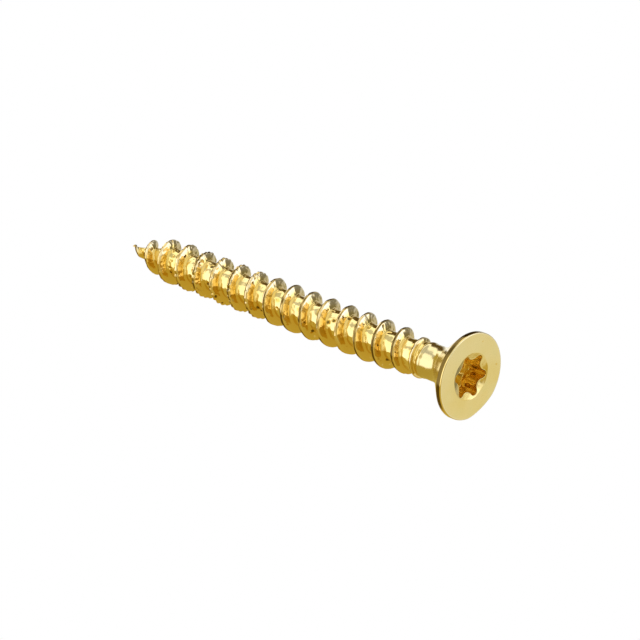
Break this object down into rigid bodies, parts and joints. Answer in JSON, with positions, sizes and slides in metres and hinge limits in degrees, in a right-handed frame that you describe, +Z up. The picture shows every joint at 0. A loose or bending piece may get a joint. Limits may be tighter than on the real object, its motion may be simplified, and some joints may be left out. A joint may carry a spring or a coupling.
{
  "type": "wood screw",
  "caption": "Countersunk wood screw with a six-lobe recess, a short plain neck and a coarse right-hand thread that runs to a sharp gimlet point.",
  "frame": {"origin": "centre of the footprint on the surface that the screw lies on", "axes": "+Z up from that surface, +X along the screw from its point to its head, +Y across it; the screw's own axis rises about 3 degrees towards the head, because the head is wider than the thread"},
  "size_m": [0.0502, 0.0096, 0.0096],
  "materials": {
    "yellow_zinc": "glossy yellow-passivated zinc plating on cold-formed steel, slightly dented on the thread"
  },
  "bodies": {
    "root": {"screw": "yellow_zinc"}
  },
  "joints": []
}
